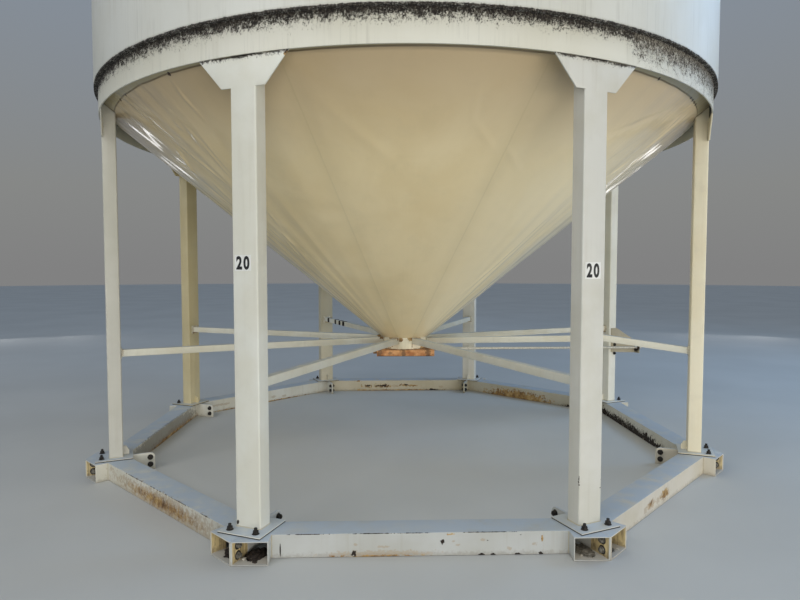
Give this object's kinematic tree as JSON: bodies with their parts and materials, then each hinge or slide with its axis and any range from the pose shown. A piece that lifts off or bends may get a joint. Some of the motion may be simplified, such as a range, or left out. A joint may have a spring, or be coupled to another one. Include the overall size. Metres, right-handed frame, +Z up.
{
  "type": "grain silo",
  "caption": "Free-standing steel grain silo with a round wall, cone roof and hopper cone, on legs over an octagonal base ring, with a slide gate on a pull rod.",
  "frame": {"origin": "on the ground, in the middle of the base ring", "axes": "+Z up along the silo's axis; -Y towards the flat front side of the base ring; +X to the right seen from the front, the way the gate slides"},
  "size_m": [5.03, 5.03, 8.6825],
  "materials": {
    "cream_paint": "weathered cream enamel with chips and rust streaks",
    "cone_paint": "semi-gloss yellowed cream enamel on thin buckled sheet",
    "shell_paint": "cream enamel with dark lichen at the ledge",
    "roof_paint": "weathered cream enamel",
    "rusted_steel": "rough orange and brown rust",
    "bare_rod": "bare drawn bar, dulled"
  },
  "bodies": {
    "silo": {"base_beam_1": "cream_paint", "base_beam_2": "cream_paint", "base_beam_3": "cream_paint", "base_beam_4": "cream_paint", "base_beam_5": "cream_paint", "base_beam_6": "cream_paint", "base_beam_7": "cream_paint", "base_beam_8": "cream_paint", "leg_1": "cream_paint", "leg_2": "cream_paint", "leg_3": "cream_paint", "leg_4": "cream_paint", "leg_5": "cream_paint", "leg_6": "cream_paint", "leg_7": "cream_paint", "leg_8": "cream_paint", "strut_1": "cream_paint", "strut_2": "cream_paint", "strut_3": "cream_paint", "strut_4": "cream_paint", "strut_5": "cream_paint", "strut_6": "cream_paint", "strut_7": "cream_paint", "strut_8": "cream_paint", "hopper_cone": "cone_paint", "outlet_collar": "cream_paint", "gate_frame": "rusted_steel", "rod_bracket": "cream_paint", "skirt_band": "shell_paint", "wall_ledge": "shell_paint", "wall_strake_1": "shell_paint", "wall_strake_2": "shell_paint", "wall_strake_3": "shell_paint", "eave_ring": "shell_paint", "roof_cone": "roof_paint", "fill_neck": "roof_paint", "fill_lid": "roof_paint"},
    "gate": {"gate_plate": "rusted_steel"},
    "rod": {"gate_rod": "bare_rod"}
  },
  "joints": [
    {"name": "gate_slide", "type": "slide", "parent": "silo", "child": "gate", "axis": [1, 0, 0], "range_m": [0, 0.38]},
    {"name": "rod_swivel", "type": "hinge", "parent": "gate", "child": "rod", "pos_m": [0.3, 0, 0.79], "axis": [0, 0, 1], "range_deg": [0, 4.3]}
  ],
  "couplings": [
    {"joint": "rod_swivel", "follows": "gate_slide", "rad_per_m": 0.192}
  ]
}
